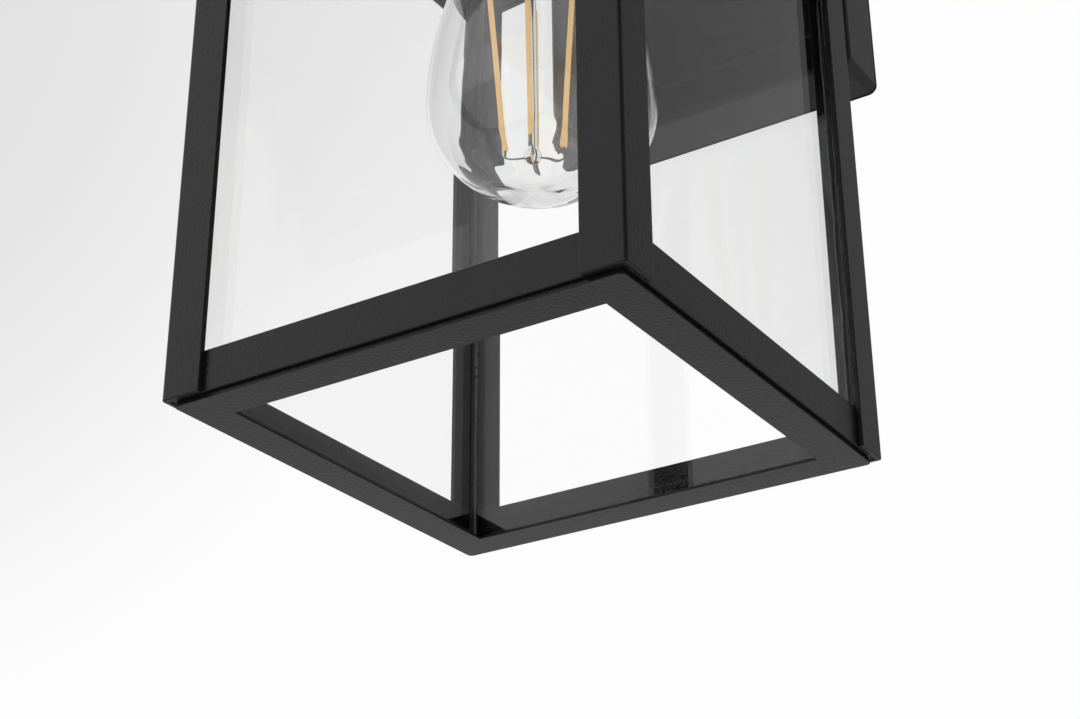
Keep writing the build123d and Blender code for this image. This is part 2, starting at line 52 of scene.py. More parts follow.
# ---- sizes of the finished pieces that the frame's boxes don't give ------------------
# posts, rails and ring
POST_WALL = 1.6 * MM
POST_BEND = 0.9 * MM
SHEET_EDGE = 0.35 * MM
RING_WIDTH = 10.9 * MM
RING_LIP = 0.25 * MM
RING_WALL = 0.9 * MM
RING_TAPER = 1.5 * MM
RING_CORNER = 1.3 * MM
RING_EDGE = 0.1 * MM
UPSTAND_WALL = 1.0 * MM
UPSTAND_EDGE = 0.25 * MM

# panes and their sealant
PANE_ARRIS = 0.45 * MM
BEAD_RADIUS = 1.2 * MM
BEAD_STEPS = 70

# wall plate
PLATE_RAISE = 0.8 * MM
PLATE_CORNER = 3.0 * MM
PLATE_ROUNDING = 2.4 * MM
PLATE_WALL = 1.2 * MM
FIELD_INSET = 13.0 * MM
FIELD_SLOPE = 0.5 * MM
FIELD_CORNER = 2.0 * MM
FIELD_EDGE = 0.2 * MM

# bulb: envelope, heights measured from its tip
BULB_WALL = 0.8 * MM
BELLY_HEIGHT = 27.5 * MM
NECK_RADIUS = 14.2 * MM
NECK_START = 106 * MM
NECK_END = 113 * MM
NECK_SLOPE = 0.18
THROAT_RADIUS = 12.3 * MM
TIP_ZONE = 12 * MM
TIP_UNEVEN = 0.9 * MM
TIP_LUMP = 7 * MM

# bulb: mount, filaments and wires
STEM_ROD = 1.3 * MM
STEM_BEAD = 2.3 * MM
STEM_LOW = 11.1 * MM
STEM_FLARE = 86 * MM
STEM_TUBE = 5.5 * MM
FILAMENT_RADIUS = 0.8 * MM
FILAMENT_LOW = 11.0 * MM
FILAMENT_HIGH = 71.0 * MM
FILAMENT_LOW_RADIUS = 8.0 * MM
FILAMENT_HIGH_RADIUS = 12.4 * MM
FILAMENT_TURN = 27.5
FILAMENT_COUNT = 4
TAB_LENGTH = 2.6 * MM
TAB_RADIUS = 0.36 * MM
WIRE_RADIUS = 0.28 * MM
MOUNT_FOOT = Vector((-1.0 * MM, -0.65 * MM, 0))
MOUNT_LEAN = Vector((-0.8 * MM, -0.5 * MM, 0))

# lamp cap and the holder's shell
THREAD_PITCH = 3.6 * MM
THREAD_DEPTH = 0.8 * MM
SHELL_THREAD_DEPTH = 0.35 * MM
CAP_WALL = 0.4 * MM
SHELL_WALL = 0.5 * MM

# fastenings and connectors
SCREW_HEAD = 3.4 * MM
SCREW_RISE = 2.2 * MM
SCREW_SHANK = 1.6 * MM
RECESS_REACH = 1.9 * MM
RECESS_HALF = 0.38 * MM
RECESS_DEPTH = 1.3 * MM
COLLAR_TOP = 4.8 * MM
DOME_RISE = 4.2 * MM
WASHER_BORE = 2.4 * MM
RIB_HEIGHT = 0.35 * MM
RIB_GAP = 0.08 * MM
RIB_TURN = 11.25

# holder's sleeve
CUP_WALL = 1.0 * MM
CUP_FLANGE_REACH = 3.4 * MM

# viewer and floor: lens in millimetres, places in metres, turns in degrees
LENS = 65.93
VIEWER_PLACE = (0.25507, -0.51662, -0.43317)
VIEWER_TURN = (115.5775, 0.3146, 32.812)
FLOOR_LEVEL = -0.65

# ---- places taken from the frame -----------------------------------------------------
ring_low, ring_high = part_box("bottom_ring")
BODY = Vector(((ring_low.x + ring_high.x) / 2, (ring_low.y + ring_high.y) / 2, ring_low.z))
glass_low, glass_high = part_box("bulb_glass")
TIP = Vector(((glass_low.x + glass_high.x) / 2, (glass_low.y + glass_high.y) / 2, glass_low.z))
SLOTS = {part["node"]: part["material_slot"] for part in frame["record"]["subparts"]}
BODIES = {node: body for body, nodes in frame["record"]["behaviour"]["bodies"].items()
          for node in nodes}


# ======================================================================================
# Bench tools
# ======================================================================================
def deselect():
    """Nothing stays selected."""
    bpy.ops.object.select_all(action="DESELECT")


def work_on(piece):
    """Only this piece is selected and active."""
    deselect()
    piece.select_set(True)
    bpy.context.view_layer.objects.active = piece


def settle(piece):
    """Puts the piece's place, turn and size into its mesh."""
    work_on(piece)
    bpy.ops.object.transform_apply(location=True, rotation=True, scale=True)


def pick(piece, kind, test):
    """Enters edit mode with only the faces, edges or points chosen that pass the test."""
    work_on(piece)
    bpy.ops.object.mode_set(mode="EDIT")
    bpy.ops.mesh.select_mode(type=kind)
    bpy.ops.mesh.select_all(action="DESELECT")
    bpy.ops.object.mode_set(mode="OBJECT")
    mesh = piece.data
    if kind == "FACE":
        for face in mesh.polygons:
            face.select = test(face.center, face.normal)
    elif kind == "EDGE":
        for edge in mesh.edges:
            start, end = (mesh.vertices[v].co for v in edge.vertices)
            edge.select = test((start + end) / 2, (end - start).normalized())
    else:
        for point in mesh.vertices:
            point.select = test(point.co, point.normal)
    bpy.ops.object.mode_set(mode="EDIT")


def close_edit(recalculate=True):
    """Leaves edit mode, as a rule with all faces turned outwards first."""
    if recalculate:
        bpy.ops.mesh.select_all(action="SELECT")
        bpy.ops.mesh.normals_make_consistent(inside=False)
    bpy.ops.object.mode_set(mode="OBJECT")


def apply_modifier(piece, kind, **settings):
    """Adds a modifier with its settings and makes it part of the mesh."""
    work_on(piece)
    modifier = piece.modifiers.new(kind.lower(), kind)
    for name, value in settings.items():
        setattr(modifier, name, value)
    bpy.ops.object.modifier_apply(modifier=modifier.name)


def soften(piece, width, segments=3, angle=35):
    """Rounds every sharp edge and shades the flat faces flat and the rounds smooth."""
    apply_modifier(piece, "BEVEL", width=width, segments=segments, limit_method="ANGLE",
                   angle_limit=math.radians(angle))
    bpy.ops.object.shade_smooth_by_angle(angle=math.radians(angle))
    apply_modifier(piece, "WEIGHTED_NORMAL", mode="FACE_AREA", weight=100, keep_sharp=True)


def block(name, low, high):
    """A box between two corners, ready to be worked."""
    deselect()
    middle = (Vector(low) + Vector(high)) / 2
    bpy.ops.mesh.primitive_cube_add(size=1, location=middle)
    piece = bpy.context.object
    piece.name = name
    piece.scale = Vector(high) - Vector(low)
    settle(piece)
    return piece


def turned(name, outline, segments=64, hollow=False, angle=40):
    """A turned piece on the upright axis, its outline a list of (radius, height) from end to end.
    A hollow outline runs round the wall and back to its first point."""
    deselect()
    radius, height = outline[0]
    bpy.ops.mesh.primitive_circle_add(vertices=segments, radius=radius, location=(0, 0, height))
    piece = bpy.context.object
    piece.name = name
    settle(piece)
    bpy.ops.object.mode_set(mode="EDIT")
    bpy.ops.mesh.select_mode(type="VERT")
    bpy.ops.mesh.select_all(action="SELECT")
    route = outline[1:] + (outline[:1] if hollow else [])
    for next_radius, next_height in route:
        move = {"value": (0, 0, next_height - height)}
        bpy.ops.mesh.extrude_region_move(TRANSFORM_OT_translate=move)
        share = next_radius / radius
        bpy.ops.transform.resize(value=(share, share, 1), center_override=(0, 0, next_height))
        radius, height = next_radius, next_height
    bpy.ops.mesh.select_all(action="SELECT")
    if hollow:
        bpy.ops.mesh.remove_doubles(threshold=1e-6)
    else:
        bpy.ops.mesh.fill_holes(sides=0)
    close_edit()
    bpy.ops.object.shade_smooth_by_angle(angle=math.radians(angle))
    return piece


def stand(piece, place, lean=(0, 0, 0)):
    """Turns a piece by three angles in degrees and moves it to its place."""
    piece.rotation_euler = [math.radians(a) for a in lean]
    piece.location = place
    settle(piece)
    return piece


def aim(piece, start, end):
    """Lays a piece made along +Z from the origin on the line from start to end."""
    direction = Vector(end) - Vector(start)
    piece.rotation_mode = "QUATERNION"
    piece.rotation_quaternion = direction.to_track_quat("Z", "Y")
    piece.location = start
    settle(piece)
    piece.rotation_mode = "XYZ"
    return piece


def twin(piece, name):
    """A copy with its own mesh."""
    copy = piece.copy()
    copy.data = piece.data.copy()
    copy.name = name
    bpy.context.scene.collection.objects.link(copy)
    return copy


def join(name, pieces):
    """Makes one piece of several."""
    deselect()
    for piece in pieces:
        piece.select_set(True)
    bpy.context.view_layer.objects.active = pieces[0]
    bpy.ops.object.join()
    pieces[0].name = name
    return pieces[0]


def wire(name, points, radius):
    """A round wire on a smooth line through its route, as a closed mesh."""
    line = bpy.data.curves.new(name, "CURVE")
    line.dimensions = "3D"
    line.bevel_depth = radius
    line.bevel_resolution = 3
    line.use_fill_caps = True
    spline = line.splines.new("NURBS")
    spline.points.add(len(points) - 1)
    for point, place in zip(spline.points, points):
        point.co = (*place, 1)
    spline.order_u = 3
    spline.use_endpoint_u = True
    spline.resolution_u = 8
    piece = bpy.data.objects.new(name, line)
    bpy.context.scene.collection.objects.link(piece)
    work_on(piece)
    bpy.ops.object.convert(target="MESH")
    return bpy.context.object


def softened(node, width, segments=3):
    """A copy of a node's sheet with its triangles merged into whole faces and its edges rounded."""
    copy = twin(frame["nodes"][node], node + "_finished")
    copy.parent = None
    for key in list(copy.keys()):
        del copy[key]
    copy.data.materials.clear()
    work_on(copy)
    bpy.ops.object.mode_set(mode="EDIT")
    bpy.ops.mesh.select_all(action="SELECT")
    bpy.ops.mesh.remove_doubles(threshold=1e-6)
    bpy.ops.mesh.dissolve_limited(angle_limit=math.radians(0.5))
    bpy.ops.object.mode_set(mode="OBJECT")
    soften(copy, width, segments)
    return copy


def carve(piece, tool):
    """Cuts the tool's shape out of the piece."""
    apply_modifier(piece, "BOOLEAN", operation="DIFFERENCE", solver="EXACT", object=tool)
    bpy.data.objects.remove(tool)


def fit(piece, *nodes):
    """The finished piece stands for these nodes of the frame and takes their finish."""
    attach(piece, BODIES[nodes[0]])
    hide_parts(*nodes)
    if not piece.data.materials:
        piece.data.materials.append(FINISHES[SLOTS[nodes[0]]])
    return piece


# ======================================================================================
# Finishes
# ======================================================================================
def new_group(name, inputs, outputs):
    """An empty node group with its sockets, each input with its own start value."""
    group = bpy.data.node_groups.new(name, "ShaderNodeTree")
    for socket, kind, value in inputs:
        made = group.interface.new_socket(socket, in_out="INPUT", socket_type=kind)
        made.default_value = value
    for socket, kind in outputs:
        group.interface.new_socket(socket, in_out="OUTPUT", socket_type=kind)
    start = group.nodes.new("NodeGroupInput")
    end = group.nodes.new("NodeGroupOutput")
    return group, start, end


def orange_peel_group():
    """Pebbled skin of baked powder: small rounded cells over a finer grain."""
    group, start, end = new_group(
        "orange_peel",
        [("Cell Scale", "NodeSocketFloat", 900.0),
         ("Grain Scale", "NodeSocketFloat", 3200.0),
         ("Grain Share", "NodeSocketFloat", 0.35)],
        [("Height", "NodeSocketFloat")])
    nodes, links = group.nodes, group.links
    place = nodes.new("ShaderNodeTexCoord")
    stir = nodes.new("ShaderNodeTexNoise")
    stir.inputs["Detail"].default_value = 1.0
    bend = nodes.new("ShaderNodeVectorMath")
    bend.operation = "MULTIPLY_ADD"
    bend.inputs[1].default_value = (0.0009, 0.0009, 0.0009)
    cells = nodes.new("ShaderNodeTexVoronoi")
    cells.feature = "SMOOTH_F1"
    cells.inputs["Smoothness"].default_value = 0.7
    grain = nodes.new("ShaderNodeTexNoise")
    grain.inputs["Detail"].default_value = 3.0
    blend = nodes.new("ShaderNodeMix")
    links.new(place.outputs["Object"], stir.inputs["Vector"])
    links.new(start.outputs["Cell Scale"], stir.inputs["Scale"])
    links.new(stir.outputs["Color"], bend.inputs[0])
    links.new(place.outputs["Object"], bend.inputs[2])
    links.new(bend.outputs["Vector"], cells.inputs["Vector"])
    links.new(start.outputs["Cell Scale"], cells.inputs["Scale"])
    links.new(place.outputs["Object"], grain.inputs["Vector"])
    links.new(start.outputs["Grain Scale"], grain.inputs["Scale"])
    links.new(start.outputs["Grain Share"], blend.inputs["Factor"])
    links.new(cells.outputs["Distance"], blend.inputs["A"])
    links.new(grain.outputs["Fac"], blend.inputs["B"])
    links.new(blend.outputs["Result"], end.inputs["Height"])
    return group


def settled_dust_group():
    """Soft uneven patches: two colours and two gloss values that drift over a surface."""
    group, start, end = new_group(
        "settled_dust",
        [("Clean", "NodeSocketColor", (0, 0, 0, 1)),
         ("Dusty", "NodeSocketColor", (1, 1, 1, 1)),
         ("Clean Roughness", "NodeSocketFloat", 0.3),
         ("Dusty Roughness", "NodeSocketFloat", 0.5),
         ("Patch Scale", "NodeSocketFloat", 35.0)],
        [("Color", "NodeSocketColor"), ("Roughness", "NodeSocketFloat")])
    nodes, links = group.nodes, group.links
    place = nodes.new("ShaderNodeTexCoord")
    patches = nodes.new("ShaderNodeTexNoise")
    patches.inputs["Detail"].default_value = 5.0
    patches.inputs["Roughness"].default_value = 0.6
    spread = nodes.new("ShaderNodeMapRange")
    spread.inputs["From Min"].default_value = 0.3
    spread.inputs["From Max"].default_value = 0.7
    colour = nodes.new("ShaderNodeMix")
    colour.data_type = "RGBA"
    gloss = nodes.new("ShaderNodeMix")
    links.new(place.outputs["Object"], patches.inputs["Vector"])
    links.new(start.outputs["Patch Scale"], patches.inputs["Scale"])
    links.new(patches.outputs["Fac"], spread.inputs["Value"])
    links.new(spread.outputs["Result"], colour.inputs["Factor"])
    links.new(start.outputs["Clean"], colour.inputs["A"])
    links.new(start.outputs["Dusty"], colour.inputs["B"])
    links.new(spread.outputs["Result"], gloss.inputs["Factor"])
    links.new(start.outputs["Clean Roughness"], gloss.inputs["A"])
    links.new(start.outputs["Dusty Roughness"], gloss.inputs["B"])
    links.new(colour.outputs["Result"], end.inputs["Color"])
    links.new(gloss.outputs["Result"], end.inputs["Roughness"])
    return group


def drawn_lines_group():
    """Fine lines along one way of the piece, as left by drawing or rolling metal."""
    group, start, end = new_group(
        "drawn_lines",
        [("Stretch", "NodeSocketVector", (1.0, 1.0, 0.03)),
         ("Line Scale", "NodeSocketFloat", 2500.0)],
        [("Height", "NodeSocketFloat")])
    nodes, links = group.nodes, group.links
    place = nodes.new("ShaderNodeTexCoord")
    squeeze = nodes.new("ShaderNodeVectorMath")
    squeeze.operation = "MULTIPLY"
    lines = nodes.new("ShaderNodeTexNoise")
    lines.inputs["Detail"].default_value = 2.0
    links.new(place.outputs["Object"], squeeze.inputs[0])
    links.new(start.outputs["Stretch"], squeeze.inputs[1])
    links.new(squeeze.outputs["Vector"], lines.inputs["Vector"])
    links.new(start.outputs["Line Scale"], lines.inputs["Scale"])
    links.new(lines.outputs["Fac"], end.inputs["Height"])
    return group


PEEL = orange_peel_group()
DUST = settled_dust_group()
LINES = drawn_lines_group()


def add_group(tree, group, **values):
    """Places an effect in a material with this material's own values."""
    node = tree.nodes.new("ShaderNodeGroup")
    node.node_tree = group
    for name, value in values.items():
        node.inputs[name.replace("_", " ")].default_value = value
    return node


def add_relief(tree, skin, depth, strength):
    """Lets an effect's height raise the shader's surface, its depth in millimetres."""
    bump = tree.nodes.new("ShaderNodeBump")
    bump.inputs["Strength"].default_value = strength
    bump.inputs["Distance"].default_value = depth * MM
    tree.links.new(skin.outputs["Height"], bump.inputs["Height"])
    tree.links.new(bump.outputs["Normal"], tree.nodes["Principled BSDF"].inputs["Normal"])


def finish(name, clean, dusty, gloss, patch, relief=None, depth=0.02, strength=0.6,
           lines=False, **plain):
    """A finish with drifting colour and gloss and a fine relief, and plain values on the shader.
    The relief is either a line scale or the orange peel's two scales and share."""
    made = bpy.data.materials.new(name)
    made.use_nodes = True
    tree = made.node_tree
    shader = tree.nodes["Principled BSDF"]
    dust = add_group(tree, DUST, Clean=(*clean, 1), Dusty=(*dusty, 1),
                     Clean_Roughness=gloss[0], Dusty_Roughness=gloss[1], Patch_Scale=patch)
    tree.links.new(dust.outputs["Color"], shader.inputs["Base Color"])
    tree.links.new(dust.outputs["Roughness"], shader.inputs["Roughness"])
    if lines:
        add_relief(tree, add_group(tree, LINES, Line_Scale=relief), depth, strength)
    elif relief:
        cells, grain, share = relief
        skin = add_group(tree, PEEL, Cell_Scale=cells, Grain_Scale=grain, Grain_Share=share)
        add_relief(tree, skin, depth, strength)
    for socket, value in plain.items():
        shader.inputs[socket.replace("_", " ")].default_value = value
    return made


def glass_finish(name, clean, dusty, refraction, patch, wave=None):
    """Clear glass; a blown piece also has a slow wave in its skin, with its scale and depth."""
    made = finish(name, clean, dusty, (0.0, 0.004), patch, IOR=refraction, Transmission_Weight=1.0)
    if wave:
        scale, depth = wave
        skin = add_group(made.node_tree, PEEL, Cell_Scale=scale, Grain_Scale=1.7 * scale,
                         Grain_Share=0.5)
        add_relief(made.node_tree, skin, depth, 0.5)
    return made


FINISHES = {
    "black_powder_coat": finish(
        "black_powder_coat", (0.0065, 0.0065, 0.0066), (0.0085, 0.0085, 0.0086), (0.27, 0.33), 28.0,
        (1050.0, 3400.0, 0.4), 0.16, 0.6, Specular_IOR_Level=0.31),
    "clear_glass": glass_finish(
        "clear_pane_glass", (0.995, 0.998, 0.996), (0.988, 0.992, 0.989), 1.42, 12.0),
    "lamp_glass": glass_finish(
        "clear_lamp_glass", (0.99, 0.992, 0.99), (0.984, 0.987, 0.984), 1.5, 40.0, (60.0, 0.008)),
    "silicone": finish(
        "grey_silicone", (0.15, 0.155, 0.15), (0.11, 0.115, 0.11), (0.25, 0.4), 300.0,
        (420.0, 3000.0, 0.4), 0.12, 0.5, IOR=1.4, Transmission_Weight=0.15),
    "zinc_steel": finish(
        "zinc_plated_steel", (0.55, 0.56, 0.58), (0.42, 0.43, 0.45), (0.28, 0.42), 160.0,
        2600.0, 0.01, 0.4, lines=True, Metallic=1.0),
    "green_steel": finish(
        "green_earth_screw", (0.03, 0.22, 0.07), (0.02, 0.16, 0.05), (0.3, 0.42), 200.0,
        (1800.0, 4000.0, 0.5), 0.01, 0.3, Metallic=0.6),
    "foam_rubber": finish(
        "foam_rubber", (0.012, 0.012, 0.012), (0.022, 0.022, 0.021), (0.85, 0.95), 60.0,
        (1500.0, 5000.0, 0.4), 0.2, 0.8, Specular_IOR_Level=0.05),
    "phenolic_moulding": finish(
        "phenolic_moulding", (0.012, 0.011, 0.010), (0.022, 0.020, 0.018), (0.25, 0.38), 90.0,
        (600.0, 5000.0, 0.6), 0.012, 0.4),
    "brass": finish(
        "bright_brass", (0.80, 0.56, 0.25), (0.66, 0.44, 0.19), (0.22, 0.36), 140.0,
        2200.0, 0.008, 0.35, lines=True, Metallic=1.0),
    "plated_cap": finish(
        "nickelled_lamp_cap", (0.62, 0.60, 0.56), (0.50, 0.48, 0.45), (0.2, 0.34), 120.0,
        2400.0, 0.008, 0.35, lines=True, Metallic=1.0),
    "dark_insulator": finish(
        "vitrite_insulator", (0.01, 0.008, 0.012), (0.02, 0.016, 0.022), (0.12, 0.22), 200.0,
        (700.0, 4000.0, 0.4), 0.01, 0.4),
    "solder": finish(
        "tin_solder", (0.62, 0.62, 0.62), (0.5, 0.5, 0.5), (0.25, 0.45), 500.0,
        (900.0, 4000.0, 0.5), 0.04, 0.5, Metallic=1.0),
    # the bulb is unlit: the faint amber emission on the sticks is a painted glow, standing in for
    # light that the envelope's glass keeps from them
    "filament_phosphor": finish(
        "yellow_phosphor_painted_glow", (0.96, 0.66, 0.27), (0.93, 0.58, 0.20), (0.5, 0.65), 700.0,
        (1600.0, 5200.0, 0.5), 0.03, 0.5,
        Emission_Color=(1.0, 0.62, 0.25, 1), Emission_Strength=0.45),
    "support_wire": finish(
        "support_wire", (0.42, 0.41, 0.40), (0.30, 0.29, 0.28), (0.25, 0.4), 400.0,
        2600.0, 0.006, 0.3, lines=True, Metallic=1.0),
    "black_insulation": finish(
        "black_insulation", (0.012, 0.012, 0.012), (0.02, 0.02, 0.02), (0.32, 0.45), 120.0,
        (900.0, 3600.0, 0.5), 0.01, 0.4),
    "white_insulation": finish(
        "white_insulation", (0.78, 0.78, 0.75), (0.70, 0.69, 0.66), (0.32, 0.45), 120.0,
        (900.0, 3600.0, 0.5), 0.01, 0.4),
    "green_insulation": finish(
        "green_insulation", (0.03, 0.24, 0.06), (0.02, 0.19, 0.05), (0.32, 0.45), 120.0,
        (900.0, 3600.0, 0.5), 0.01, 0.4),
    "orange_plastic": finish(
        "orange_connector_plastic", (0.82, 0.20, 0.03), (0.74, 0.16, 0.02), (0.3, 0.42), 110.0,
        (700.0, 4000.0, 0.5), 0.015, 0.4),
}
GROUND_EDGE = finish(
    "ground_glass_edge", (0.020, 0.026, 0.023), (0.034, 0.042, 0.037), (0.35, 0.5), 90.0,
    (900.0, 3000.0, 0.5), 0.03, 0.5)


# ======================================================================================
# Frame: posts, rails, ring
# ======================================================================================
def corner_post(node):
    """A folded angle: one flange is a strip, the other is drawn out of its back."""
    low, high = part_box(node)
    left = (low.x + high.x) / 2 < BODY.x
    front = (low.y + high.y) / 2 < BODY.y
    strip_low, strip_high = Vector(low), Vector(high)
    if front:
        strip_high.y = low.y + POST_WALL
    else:
        strip_low.y = high.y - POST_WALL
    post = block(node + "_angle", strip_low, strip_high)
    cut = low.x + POST_WALL if left else high.x - POST_WALL
    bpy.ops.object.mode_set(mode="EDIT")
    bpy.ops.mesh.select_all(action="SELECT")
    bpy.ops.mesh.bisect(plane_co=(cut, 0, 0), plane_no=(1, 0, 0))
    close_edit(False)
    inward = 1 if front else -1
    reach = high.y - low.y - POST_WALL
    pick(post, "FACE", lambda c, n: n.y * inward > 0.9 and (c.x < cut) == left)
    move = {"value": (0, inward * reach, 0)}
    bpy.ops.mesh.extrude_region_move(TRANSFORM_OT_translate=move)
    close_edit()
    corner = Vector((low.x if left else high.x, low.y if front else high.y, 0))
    pick(post, "EDGE", lambda c, d: abs(d.z) > 0.9
         and (Vector((c.x, c.y, 0)) - corner).length < 0.1 * MM)
    bpy.ops.mesh.bevel(offset=POST_BEND, segments=8, affect="EDGES")
    close_edit()
    soften(post, SHEET_EDGE)
    return post


def flat_rail(node):
    """A rail strip with softened edges and its ends tucked behind the posts."""
    rail = block(node + "_strip", *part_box(node))
    soften(rail, SHEET_EDGE)
    return rail


def square_loop(name, half_width, width, low, high):
    """A flat square loop of sheet: a plate, inset, its middle cut out, then given its height."""
    deselect()
    bpy.ops.mesh.primitive_plane_add(size=2 * half_width, location=(BODY.x, BODY.y, low))
    loop = bpy.context.object
    loop.name = name
    settle(loop)
    bpy.ops.object.mode_set(mode="EDIT")
    bpy.ops.mesh.select_all(action="SELECT")
    bpy.ops.mesh.inset(thickness=width)
    bpy.ops.mesh.delete(type="FACE")
    bpy.ops.mesh.select_all(action="SELECT")
    move = {"value": (0, 0, high - low)}
    bpy.ops.mesh.extrude_region_move(TRANSFORM_OT_translate=move)
    close_edit()
    return loop


def bottom_ring():
    """The flat ring with its tapered outer edge, and the upstand that closes the gap behind
    the rails."""
    half = (ring_high.x - ring_low.x) / 2
    plate = square_loop("ring_plate", half, RING_WIDTH, BODY.z, BODY.z + RING_WALL)
    shrink = (half - RING_TAPER) / half
    bpy.ops.object.mode_set(mode="EDIT")
    bpy.ops.mesh.select_all(action="SELECT")
    bpy.ops.mesh.bisect(plane_co=(0, 0, BODY.z + RING_LIP), plane_no=(0, 0, 1))
    close_edit(False)
    pick(plate, "VERT", lambda c, n: c.z > BODY.z + RING_WALL - 0.1 * MM
         and abs(c.x - BODY.x) > half - 0.1 * MM)
    bpy.ops.transform.resize(value=(shrink, shrink, 1), center_override=BODY)
    close_edit()
    pick(plate, "EDGE", lambda c, d: abs(abs(c.x - BODY.x) - abs(c.y - BODY.y)) < 0.1 * MM
         and abs(c.x - BODY.x) > half - RING_TAPER - 0.1 * MM and abs(d.z) > 0.25)
    bpy.ops.mesh.bevel(offset=RING_CORNER, segments=6, affect="EDGES")
    close_edit()
    soften(plate, RING_EDGE, 2)
    rail_back = BODY.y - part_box("bottom_rail_front")[1].y
    upstand = square_loop("ring_upstand", rail_back, UPSTAND_WALL, BODY.z + RING_LIP,
                          ring_high.z)
    soften(upstand, UPSTAND_EDGE)
    return join("bottom_ring_sheet", [plate, upstand])


for corner in ("front_left", "front_right", "back_right", "back_left"):
    fit(corner_post(f"corner_post_{corner}"), f"corner_post_{corner}")
for side in ("front", "right", "back", "left"):
    for level in ("bottom", "top"):
        fit(flat_rail(f"{level}_rail_{side}"), f"{level}_rail_{side}")
fit(bottom_ring(), "bottom_ring")


# ======================================================================================
# Glazing
# ======================================================================================
def glass_pane(node):
    """A clear sheet whose cut edges are ground dull."""
    low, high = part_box(node)
    pane = block(node + "_sheet", low, high)
    soften(pane, PANE_ARRIS)
    pane.data.materials.append(FINISHES["clear_glass"])
    pane.data.materials.append(GROUND_EDGE)
    through = Vector((0, 1, 0)) if high.y - low.y < high.x - low.x else Vector((1, 0, 0))
    for face in pane.data.polygons:
        face.material_index = int(abs(face.normal.dot(through)) < 0.5)
    return pane


def silicone_bead(x_side, y_side, low, high):
    """A hand-laid bead: a wavy column trimmed to the quarter inside the corner."""
    seed = 3 * x_side + 7 * y_side
    outline = []
    for step in range(BEAD_STEPS + 1):
        share = step / BEAD_STEPS
        swell = 0.10 * math.sin(37 * share + seed) + 0.07 * math.sin(83 * share + 2 * seed)
        outline.append((BEAD_RADIUS * (0.6 + 0.7 * swell), low.z + share * (high.z - low.z)))
    bead = turned("silicone_bead", outline, 28)
    corner = Vector((low.x if x_side < 0 else high.x, low.y if y_side < 0 else high.y, 0))
    stand(bead, corner)
    for normal in ((-x_side, 0, 0), (0, -y_side, 0)):
        bpy.ops.object.mode_set(mode="EDIT")
        bpy.ops.mesh.select_all(action="SELECT")
        bpy.ops.mesh.bisect(plane_co=corner, plane_no=normal, use_fill=True, clear_inner=True)
        close_edit()
    return bead


for side in ("front", "right", "back", "left"):
    fit(glass_pane(f"glass_pane_{side}"), f"glass_pane_{side}")
bead_low, bead_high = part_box("silicone_beads")
beads = [silicone_bead(sx, sy, bead_low, bead_high) for sx in (-1, 1) for sy in (-1, 1)]
fit(join("silicone_bead_lines", beads), "silicone_beads")


# ======================================================================================
# Bulb
# ======================================================================================
def bulb_outline():
    """Radius and height of the envelope from its tip up: an oval crown, a long shoulder, a neck."""
    belly = (glass_high.x - glass_low.x) / 2
    steps = 24
    points = [(0.3 * MM, 0.0)]
    for step in range(1, steps + 1):
        turn = math.radians(90 * step / steps)
        points.append((belly * math.sin(turn), BELLY_HEIGHT * (1 - math.cos(turn))))
    rise = NECK_START - BELLY_HEIGHT
    for step in range(1, steps + 1):
        t = step / steps
        belly_share = 2 * t ** 3 - 3 * t ** 2 + 1
        slope_share = t ** 3 - t ** 2
        radius = (belly_share * belly + (1 - belly_share) * NECK_RADIUS
                  - slope_share * NECK_SLOPE * rise)
        points.append((radius, BELLY_HEIGHT + rise * t))
    top = glass_high.z - glass_low.z
    return points + [(NECK_RADIUS, NECK_END), (THROAT_RADIUS, NECK_END + 2 * MM),
                     (THROAT_RADIUS, top)]


def bulb_glass():
    """The blown envelope, uneven at its tip, where the blank was cut off."""
    shell = turned("bulb_envelope", bulb_outline(), 96, angle=60)
    stand(shell, TIP)
    inside = twin(shell, "bulb_inside")
    apply_modifier(inside, "SOLIDIFY", thickness=BULB_WALL, offset=-1.0)
    bpy.data.objects.remove(shell)
    belly_centre = TIP + Vector((0, 0, BELLY_HEIGHT))
    near_tip = inside.vertex_groups.new(name="tip")
    for point in inside.data.vertices:
        share = 1 - (point.co.z - TIP.z) / TIP_ZONE
        if share > 0 and point.normal.dot(point.co - belly_centre) < 0:
            near_tip.add([point.index], share, "REPLACE")
    cloud = bpy.data.textures.new("tip_unevenness", "CLOUDS")
    cloud.noise_scale = TIP_LUMP
    cloud.noise_depth = 1
    apply_modifier(inside, "DISPLACE", texture=cloud, texture_coords="LOCAL", vertex_group="tip",
                   strength=TIP_UNEVEN, mid_level=0.45)
    bpy.ops.object.shade_smooth_by_angle(angle=math.radians(60))
    return inside


def at_bearing(radius, turn, height):
    """A point in the bulb at a radius and a bearing from the mount's axis, the front being 0.
    The mount stands a little off the envelope's axis and leans."""
    turn = math.radians(turn)
    lean = MOUNT_FOOT + MOUNT_LEAN * height / STEM_FLARE
    return TIP + lean + Vector((radius * math.sin(turn), -radius * math.cos(turn), height))


